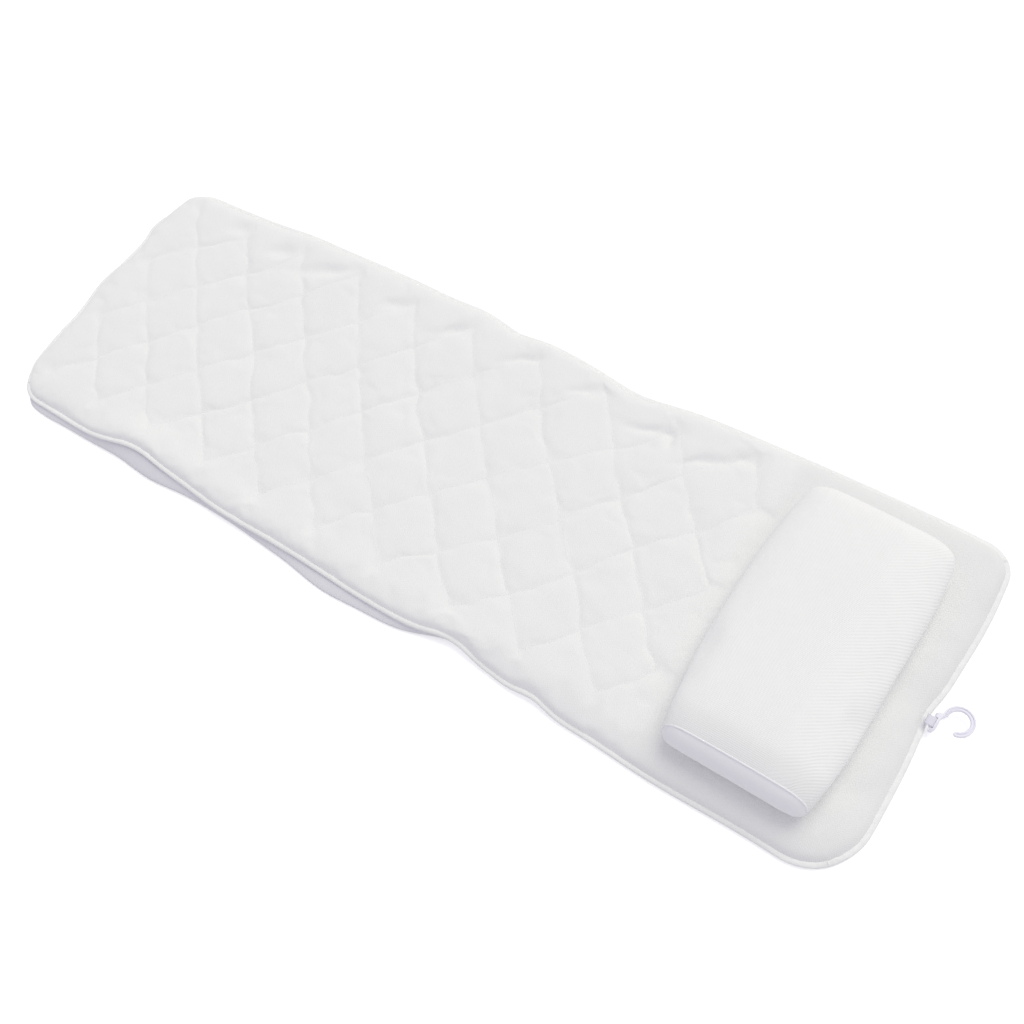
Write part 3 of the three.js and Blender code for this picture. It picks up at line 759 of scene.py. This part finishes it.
def outline_points(inset, count):
    """Pattern points round the mat at an inset, evenly spaced on the pattern's rectangle"""
    hx, hy = HALF_LENGTH - inset, HALF_WIDTH - inset
    total = 4 * (hx + hy)
    run = np.arange(count) / count * total
    corners = [0, 2 * hx, 2 * hx + 2 * hy, 4 * hx + 2 * hy, total]
    x = np.interp(run, corners, [-hx, hx, hx, -hx, -hx])
    y = np.interp(run, corners, [-hy, -hy, hy, hy, -hy])
    return x, y, run


def build_binding(finish):
    around, sides = 1440, 16
    mesh, i, j = grid_mesh("binding_tape_edge", around, sides)
    turn = j / sides * 2 * math.pi
    base_x, base_y, run = outline_points(0, around)
    k = (i % around).astype(int)
    head = ease((base_x[k] - 0.54) / 0.04)
    wide = 0.0038 + 0.0012 * head
    tall = 0.0034 - 0.0004 * head
    inset = wide - 0.0002 - wide * np.cos(turn)
    rise = np.sin(turn)
    grow = np.sign(rise) * np.abs(rise) ** 0.8 * np.where(rise < 0, 0.5, 1.0) - 0.25
    x = np.sign(base_x[k]) * np.minimum(np.abs(base_x[k]), HALF_LENGTH - inset)
    y = np.sign(base_y[k]) * np.minimum(np.abs(base_y[k]), HALF_WIDTH - inset)
    px, py = lay(x, y)
    level = BINDING_LEVEL + edge_lift(base_x[k], base_y[k]) + tall * grow
    level += 0.0003 * ripple(run[k], np.ones_like(turn), 0.02, 2.2)
    level += (0.0004 + 0.0005 * head) * ripple(run[k], inset, 0.0065, 7.7) * np.maximum(rise, 0)
    move_to(mesh, np.stack([px, py, level], axis=1))
    keep_flat_map(mesh, run[k], turn * 0.0035)
    bm = bmesh.new()
    bm.from_mesh(mesh)
    bmesh.ops.remove_doubles(bm, verts=bm.verts, dist=0.00005)
    bmesh.ops.recalc_face_normals(bm, faces=bm.faces)
    bm.to_mesh(mesh)
    bm.free()
    piece = new_piece("edge_tape", mesh, finish)
    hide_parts("edge_binding_leg_section", "edge_binding_back_section")
    return piece


def add_stitch(bm, at, along, up, size):
    side = up.cross(along).normalized()
    axes = Matrix((along.normalized() * size[0], side * size[1], up * size[2]))
    place = Matrix.Translation(at) @ axes.transposed().to_4x4()
    bmesh.ops.create_icosphere(bm, subdivisions=1, radius=0.5, matrix=place)


def surface_of(piece):
    return BVHTree.FromObject(piece, bpy.context.evaluated_depsgraph_get())


def sew(name, tree, points, finish, size):
    """Stitches on a surface at points, each with the next one's direction"""
    bm = bmesh.new()
    for at, on in points:
        hit = tree.ray_cast(Vector((at[0], at[1], ABOVE_ALL)), Vector((0, 0, -1)))
        ahead = tree.ray_cast(Vector((on[0], on[1], ABOVE_ALL)), Vector((0, 0, -1)))
        if hit[0] is None or ahead[0] is None:
            continue
        up = hit[1] if hit[1].z > 0 else -hit[1]
        add_stitch(bm, hit[0] - up * STITCH_SINK, ahead[0] - hit[0], up, size)
    return new_piece(name, mesh_from(bm, name), finish)


def build_binding_stitches(binding, finish):
    count = int(4 * (HALF_LENGTH + HALF_WIDTH) / STITCH_PITCH)
    x, y, _ = outline_points(STITCH_INSET, count)
    px, py = lay(x, y)
    spots = list(zip(px, py))
    pairs = [(spots[k], spots[(k + 1) % count]) for k in range(count)]
    piece = sew("binding_stitches", surface_of(binding), pairs, finish, BINDING_STITCH)
    return piece


def build_quilting_stitches(cover, finish):
    """A row of stitches along every line of the quilting"""
    pitch = STITCH_PITCH / math.hypot(*HALF_DIAMOND)
    across = QUILT_SIDE / HALF_DIAMOND[1]
    last = (QUILT_END - QUILT_START) / HALF_DIAMOND[0]
    v = np.arange(-across, across, pitch)
    pairs = []
    for lean in (1, -1):
        for line in range(-3, int(last) + 5, 2):
            u = line - lean * v
            keep = (u > 0) & (u < last)
            x = QUILT_START + u[keep] * HALF_DIAMOND[0]
            y = QUILT_SHIFT + v[keep] * HALF_DIAMOND[1]
            spots = list(zip(*lay(*unevenly_sewn(x, y)))) if len(x) else []
            pairs += list(zip(spots, spots[1:]))
    piece = sew("quilting_stitches", surface_of(cover), pairs, finish, QUILTING_STITCH)
    return piece


# Suction cups

# Half of a cup's section, as (radius, level)
CUP_PROFILE = (
    (0.0, 0.0024), (0.0060, 0.0023), (0.0110, 0.0018), (0.0138, 0.0007), (0.0148, 0.0),
    (0.0170, 0.0), (0.0170, 0.0009), (0.0145, 0.0019), (0.0110, 0.0031), (0.0070, 0.0042),
    (0.0050, 0.0047), (0.0050, 0.0062), (0.0026, 0.0062), (0.0026, 0.0082), (0.0055, 0.0082),
    (0.0055, 0.0094), (0.0, 0.0094),
)


def build_cup(name, x, y, finish):
    bm = bmesh.new()
    verts = [bm.verts.new((x + r, y, z)) for r, z in CUP_PROFILE]
    edges = [bm.edges.new(pair) for pair in zip(verts, verts[1:])]
    bmesh.ops.spin(
        bm, geom=verts + edges, cent=(x, y, 0), axis=(0, 0, 1), angle=2 * math.pi, steps=40,
        use_merge=True,
    )
    bmesh.ops.remove_doubles(bm, verts=bm.verts, dist=0.00002)
    bmesh.ops.recalc_face_normals(bm, faces=bm.faces)
    piece = new_piece(name, mesh_from(bm, name), finish)
    piece.data.set_sharp_from_angle(angle=math.radians(50))
    return piece


def cad_middle(node):
    low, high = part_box(node)
    return (low[0] + high[0]) / 2, (low[1] + high[1]) / 2


def build_cups(finish):
    for number in range(1, 17):
        node = f"suction_cup_{number:02d}"
        x, y = cad_middle(node)
        piece = build_cup(f"cup_{number:02d}", x, y, finish)
        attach(piece, "leg_section" if number <= 8 else "back_section")
        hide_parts(node)


# Fastener tapes

def build_tape(name, node, body, finish):
    low, high = (Vector(corner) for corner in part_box(node))
    turn = PILLOW_TURN if body == "pillow" else 0
    middle, size = (low + high) / 2, high - low
    bm = bmesh.new()
    bmesh.ops.create_cube(bm, size=1)
    bmesh.ops.scale(bm, verts=bm.verts, vec=(2 * TAPE_HALF[0], 2 * TAPE_HALF[1], size.z))
    bmesh.ops.bevel(
        bm, geom=bm.edges[:], offset=TAPE_BEVEL, affect="EDGES", segments=2, profile=0.5,
        material=-1,
    )
    bmesh.ops.rotate(bm, verts=bm.verts, cent=(0, 0, 0), matrix=Matrix.Rotation(turn, 3, "Z"))
    bmesh.ops.translate(bm, verts=bm.verts, vec=middle)
    mesh = mesh_from(bm, name)
    found = places(mesh)
    keep_flat_map(mesh, found[:, 0], found[:, 1])
    piece = new_piece(name, mesh, finish, smooth=False)
    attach(piece, body)
    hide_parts(node)


# Pillow

def rounded(where, half, radius):
    """A box's surface places, at half sizes, with its edges rounded to a radius on each axis"""
    over = [np.maximum(np.abs(p) - (h - r), 0) / r for p, h, r in zip(where, half, radius)]
    far = np.sqrt(sum(q * q for q in over))
    most = np.maximum(np.maximum(over[0], over[1]), over[2])
    share = most / np.maximum(far, 1e-9)
    return [
        np.where(q > 0, np.sign(p) * (h - r + r * q * share), p)
        for p, h, r, q in zip(where, half, radius, over)
    ]


def pillow_shape(found, inset):
    """Places on a cube's surface, from -1 to 1, taken to the pillow's crowned form"""
    a, b, c = found.T
    high = ease((c + 1) / 2)
    boxy = ease((-b - 0.35) / 0.65)
    half = (
        PILLOW_HALF[0] - inset - 0.009 * np.abs(b) ** 3,
        np.full_like(b, PILLOW_HALF[1] - inset),
        np.full_like(b, (PILLOW_HEIGHT - PILLOW_CROWN) / 2 - inset),
    )
    radius = (
        0.013 + (0.015 - 0.010 * boxy) * high - inset,
        np.where(b < 0, 0.009 + 0.024 * high, 0.012 + 0.005 * high) - inset,
        np.where(c > 0, 0.027 - 0.006 * boxy, 0.014 - 0.004 * boxy) - inset,
    )
    x, y, z = rounded((a * half[0], b * half[1], c * half[2]), half, radius)
    share = (z / half[2] + 1) / 2
    y += np.where(b < 0, 0.016 * share - 0.006, -0.001 * share) * np.abs(b)
    lift = 0.009 * ease((np.abs(b) - 0.66) / 0.34) * (1 - share)
    crown = PILLOW_CROWN * (1 - np.abs(b) ** 4 * 0.75)
    crown = crown * np.maximum(1 - (x / half[0]) ** 2, 0) * share
    middle = PILLOW_BASE + (PILLOW_HEIGHT - PILLOW_CROWN) / 2
    return np.stack([x, y, middle + z + lift + crown], axis=1)


def swell(mesh, voxel, pressure, cap):
    """The padded form under its cover: remeshed, blown up a little, and held to a cap"""
    body = bpy.data.objects.new("swell", mesh)
    bpy.context.scene.collection.objects.link(body)
    remesh = body.modifiers.new("remesh", "REMESH")
    remesh.mode = "VOXEL"
    remesh.voxel_size = voxel
    graph = bpy.context.evaluated_depsgraph_get()
    fine = bpy.data.meshes.new_from_object(body.evaluated_get(graph))
    body.modifiers.remove(remesh)
    body.data = fine
    before = places(fine)
    cloth = add_cloth(body, pressure, 5, 25, 15)
    after = after_cloth(body)
    body.modifiers.remove(cloth)
    bpy.context.scene.frame_set(1)
    step = after - before
    length = np.linalg.norm(step, axis=1, keepdims=True)
    before = before + step * np.minimum(1, cap / np.maximum(length, 1e-9))
    move_to(fine, before)
    bpy.data.objects.remove(body)
    return fine


def fill_out(found):
    """The swollen form brought to the pillow's full size, flat where it lies on the mat"""
    x, y, z = found.T
    x = np.where(x > 0, x * PILLOW_HEAD_REACH / x.max(), x * PILLOW_HALF[0] / -x.min())
    y = np.where(y < 0, y * PILLOW_NEAR_REACH / -y.min(), y * PILLOW_HALF[1] / y.max())
    level = PILLOW_BASE - 0.001 + (z - z.min()) * (PILLOW_HEIGHT + 0.001) / (z.max() - z.min())
    return np.stack([x, y, np.maximum(level, PILLOW_BASE)], axis=1)


def pillow_body():
    bm = bmesh.new()
    bmesh.ops.create_cube(bm, size=2)
    bmesh.ops.subdivide_edges(bm, edges=bm.edges[:], cuts=31, use_grid_fill=True)
    mesh = mesh_from(bm, "pillow_body")
    move_to(mesh, pillow_shape(places(mesh), 0.0025))
    fine = swell(mesh, 0.0042, 4.0, 0.003)
    bm = bmesh.new()
    bm.from_mesh(fine)
    smooth_out(bm, 13)
    bm.to_mesh(fine)
    bm.free()
    move_to(fine, fill_out(places(fine)))
    bm = bmesh.new()
    bm.from_mesh(fine)
    smooth_out(bm, 3)
    return bm


def end_plane(side, seam):
    """A point and the outward direction of a seam's plane"""
    (top_y, top), (base_y, base) = seam
    lean = Vector((0, top - base, base_y - top_y)).normalized() * side
    return Vector((0, base_y, base)), lean


def loop_in_order(bm, plane):
    """The cut's vertices in order round the pillow"""
    point, normal = plane
    on = [v for v in bm.verts if abs((v.co - point).dot(normal)) < 0.00002]
    middle = sum((v.co for v in on), Vector()) / len(on)
    across = Vector((1, 0, 0))
    up = normal.cross(across)

    def bearing(place):
        return math.atan2((place - middle).dot(up), (place - middle).dot(across))

    return sorted((v.co.copy() for v in on), key=bearing)


def girth(found):
    """Length round the pillow's section from its top's middle line"""
    x, z = found[:, 0], found[:, 2]
    radius, half, top = 0.026, PILLOW_HALF[0] - 0.004, PILLOW_BASE + PILLOW_HEIGHT
    over = np.abs(x) - (half - radius)
    down = np.maximum(top - radius - z, 0)
    angle = np.arctan2(np.maximum(over, 0), np.maximum(z - (top - radius), 1e-6))
    angle = np.where(over > 0, np.minimum(angle, math.pi / 2), 0)
    run = np.where(over > 0, half - radius + radius * angle + down, np.abs(x))
    return np.sign(x) * run


def cord_along(name, points, radius, finish):
    """A sewn-in cord through a closed row of points"""
    data = bpy.data.curves.new(name, "CURVE")
    data.dimensions = "3D"
    data.bevel_depth = radius
    data.bevel_resolution = 3
    spline = data.splines.new("POLY")
    spline.points.add(len(points) - 1)
    for place, at in zip(spline.points, points):
        place.co = (*at, 1)
    spline.use_cyclic_u = True
    holder = bpy.data.objects.new(name + "_path", data)
    bpy.context.scene.collection.objects.link(holder)
    graph = bpy.context.evaluated_depsgraph_get()
    mesh = bpy.data.meshes.new_from_object(holder.evaluated_get(graph))
    bpy.data.objects.remove(holder)
    while mesh.uv_layers:
        mesh.uv_layers.remove(mesh.uv_layers[0])
    found = places(mesh)
    keep_flat_map(mesh, found[:, 0] + found[:, 2], found[:, 1])
    return new_piece(name, mesh, finish)


def even_out(points, count):
    """The same closed path with evenly spaced points, smoothed a little"""
    ring = np.array([tuple(p) for p in points])
    for _ in range(3):
        ring = (np.roll(ring, 1, axis=0) + 2 * ring + np.roll(ring, -1, axis=0)) / 4
    closed = np.vstack([ring, ring[:1]])
    run = np.concatenate([[0], np.cumsum(np.linalg.norm(np.diff(closed, axis=0), axis=1))])
    at = np.arange(count) / count * run[-1]
    return np.stack([np.interp(at, run, closed[:, k]) for k in range(3)], axis=1)


def onto_mat(mesh):
    """The near end set square to the mat, and the pillow turned and moved to its place"""
    found = places(mesh)
    near = ease((-found[:, 1] - 0.03) / 0.12)
    found[:, 0] = found[:, 0] * (1 - NEAR_NARROWING * near) + NEAR_SHIFT * near
    found[:, 1] += PILLOW_SKEW * found[:, 0] * near
    move_to(mesh, found)
    mesh.transform(Matrix.Translation((PILLOW_X, 0, 0)) @ Matrix.Rotation(PILLOW_TURN, 4, "Z"))


def build_end(name, bm, plane, loop, finish):
    """An end panel, cut off the whole pillow at its seam's plane, and the cord in that seam"""
    point, normal = plane
    panel = bm.copy()
    drop = [f for f in panel.faces if (f.calc_center_median() - point).dot(normal) < 0]
    bmesh.ops.delete(panel, geom=drop, context="FACES")
    mesh = mesh_from(panel, f"pillow_end_{name}")
    found = places(mesh)
    keep_flat_map(mesh, found[:, 0], found[:, 2])
    onto_mat(mesh)
    piece = new_piece(f"pillow_end_{name}", mesh, finish)
    add_wall(piece, PANEL_THICKNESS, -1)
    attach(piece, "pillow")
    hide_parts(f"pillow_end_panel_{name}")
    cord = cord_along(f"pillow_piping_{name}", loop, CORD_RADIUS, finish)
    onto_mat(cord.data)
    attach(cord, "pillow")
    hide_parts(f"pillow_seam_cord_{name}")


def build_pillow(finishes):
    bm = pillow_body()
    planes = {"left": end_plane(-1, NEAR_SEAM), "right": end_plane(1, FAR_SEAM)}
    for point, normal in planes.values():
        bmesh.ops.bisect_plane(
            bm, geom=bm.verts[:] + bm.edges[:] + bm.faces[:], dist=0.000001,
            plane_co=point, plane_no=normal,
        )
    loops = {name: even_out(loop_in_order(bm, plane), 150) for name, plane in planes.items()}
    for name, plane in planes.items():
        build_end(name, bm, plane, loops[name], finishes["knit"])
    outside = [
        f for f in bm.faces
        if any((f.calc_center_median() - at).dot(normal) > 0 for at, normal in planes.values())
    ]
    bmesh.ops.delete(bm, geom=outside, context="FACES")
    bmesh.ops.subdivide_edges(bm, edges=bm.edges[:], cuts=1, use_grid_fill=True, smooth=1.0)
    mesh = mesh_from(bm, "pillow_cover")
    found = places(mesh)
    keep_flat_map(mesh, girth(found), found[:, 1])
    onto_mat(mesh)
    piece = new_piece("pillow_cover", mesh, finishes["pillow"])
    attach(piece, "pillow")
    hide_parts("pillow_wrap", "pillow_core")


# Hook

def build_hook(finish):
    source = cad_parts["hanging_hook"]
    bm = bmesh.new()
    bm.from_mesh(source.data)
    bmesh.ops.remove_doubles(bm, verts=bm.verts, dist=0.00001)
    bmesh.ops.dissolve_limit(bm, angle_limit=math.radians(1), verts=bm.verts, edges=bm.edges)
    piece = new_piece("hook", mesh_from(bm, "hook"), finish)
    piece.data.set_sharp_from_angle(angle=math.radians(40))
    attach(piece, "hook")
    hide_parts("hanging_hook")


def build_strap(finish):
    """The tape loop that holds the hook: one strip sewn on the binding, round the bar and back"""
    low, high = (Vector(corner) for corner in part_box("hook_tape_loop"))
    bar, width = Vector(HOOK_BAR), high.y - low.y
    top = bar.z + STRAP_RADIUS
    path = [Vector((low.x + 0.003, 0, top)), Vector((bar.x - 0.004, 0, top))]
    for step in range(STRAP_STEPS + 1):
        angle = math.pi / 2 - math.pi * step / STRAP_STEPS * STRAP_WRAP
        away = Vector((STRAP_RADIUS * math.cos(angle), 0, STRAP_RADIUS * math.sin(angle)))
        path.append(bar + away)
    mesh, i, j = grid_mesh("hook_strap", len(path) - 1, 6)
    along = np.array([tuple(path[int(k)]) for k in i])
    y = (low.y + high.y) / 2 + (j / 6 - 0.5) * width
    move_to(mesh, np.stack([along[:, 0], y, along[:, 2]], axis=1))
    keep_flat_map(mesh, i * 0.001, y)
    piece = new_piece("hook_strap", mesh, finish)
    add_wall(piece, STRAP_THICKNESS, 0)
    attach(piece, "back_section")
    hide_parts("hook_tape_loop")


# Floor and light

def seen_directly(tree):
    """1 for what the camera sees, also in gloss and through glass, and 0 for light"""
    path = add_node(tree, "ShaderNodeLightPath").outputs
    seen = maths(tree, "MAXIMUM", path["Is Camera Ray"], path["Is Glossy Ray"])
    return maths(tree, "MAXIMUM", seen, path["Is Transmission Ray"])


def build_floor():
    bm = bmesh.new()
    bmesh.ops.create_grid(bm, x_segments=1, y_segments=1, size=8)
    bmesh.ops.translate(bm, verts=bm.verts, vec=(0, 0, -0.0003))
    finish = bpy.data.materials.new("floor_white")
    finish.use_nodes = True
    tree = finish.node_tree
    tree.nodes.clear()
    strength = maths(tree, "MULTIPLY", seen_directly(tree), FLOOR_GLOW)
    glow = add_node(tree, "ShaderNodeEmission", {"Strength": strength})
    matt = add_node(tree, "ShaderNodeBsdfDiffuse", {"Color": FLOOR_COLOUR})
    both = add_node(tree, "ShaderNodeAddShader", {0: matt.outputs[0], 1: glow.outputs[0]})
    add_node(tree, "ShaderNodeOutputMaterial", {"Surface": both.outputs[0]})
    floor = new_piece("floor", mesh_from(bm, "floor"), finish, smooth=False)


def light_room():
    scene = bpy.context.scene
    scene.view_settings.view_transform = "Standard"
    world = bpy.data.worlds.new("room")
    scene.world = world
    world.use_nodes = True
    tree = world.node_tree
    tree.nodes.clear()
    seen = seen_directly(tree)
    soft = add_node(tree, "ShaderNodeBackground", {"Color": ROOM_COLOUR, "Strength": ROOM_POWER})
    white = add_node(tree, "ShaderNodeBackground", {"Color": (1, 1, 1, 1), "Strength": 1.0})
    mix = add_node(tree, "ShaderNodeMixShader", {0: seen, 1: soft.outputs[0], 2: white.outputs[0]})
    add_node(tree, "ShaderNodeOutputWorld", {"Surface": mix.outputs[0]})
    add_sun()


def add_sun():
    """Even soft light from one side"""
    data = bpy.data.lights.new("window", "SUN")
    data.angle = SUN_SPREAD
    data.energy = SUN_POWER
    data.color = SUN_COLOUR
    lamp = bpy.data.objects.new("window", data)
    bpy.context.scene.collection.objects.link(lamp)
    lamp.rotation_mode = "QUATERNION"
    lamp.rotation_quaternion = (-Vector(SUN_FROM)).to_track_quat("-Z", "Y")


def main():
    place_camera()
    build_floor()
    light_room()
    finishes = make_finishes()
    thread = plain_thread()
    cover = build_cover(finishes["quilt"])
    base = build_base(finishes["base"])
    binding = build_binding(finishes["tape"])
    stitches = build_binding_stitches(binding, thread)
    quilting = build_quilting_stitches(cover, thread)
    for piece in (cover, base, binding, stitches, quilting):
        blend_over_fold(piece)
    build_cups(finishes["vinyl"])
    for place in ("lower", "upper"):
        loops, grip = f"mat_fastener_tape_{place}", f"pillow_fastener_tape_{place}"
        build_tape(f"loop_tape_{place}", loops, "back_section", finishes["fastener"])
        build_tape(f"grip_tape_{place}", grip, "pillow", finishes["fastener"])
    build_pillow(finishes)
    build_hook(finishes["hook"])
    build_strap(finishes["strap"])


main()
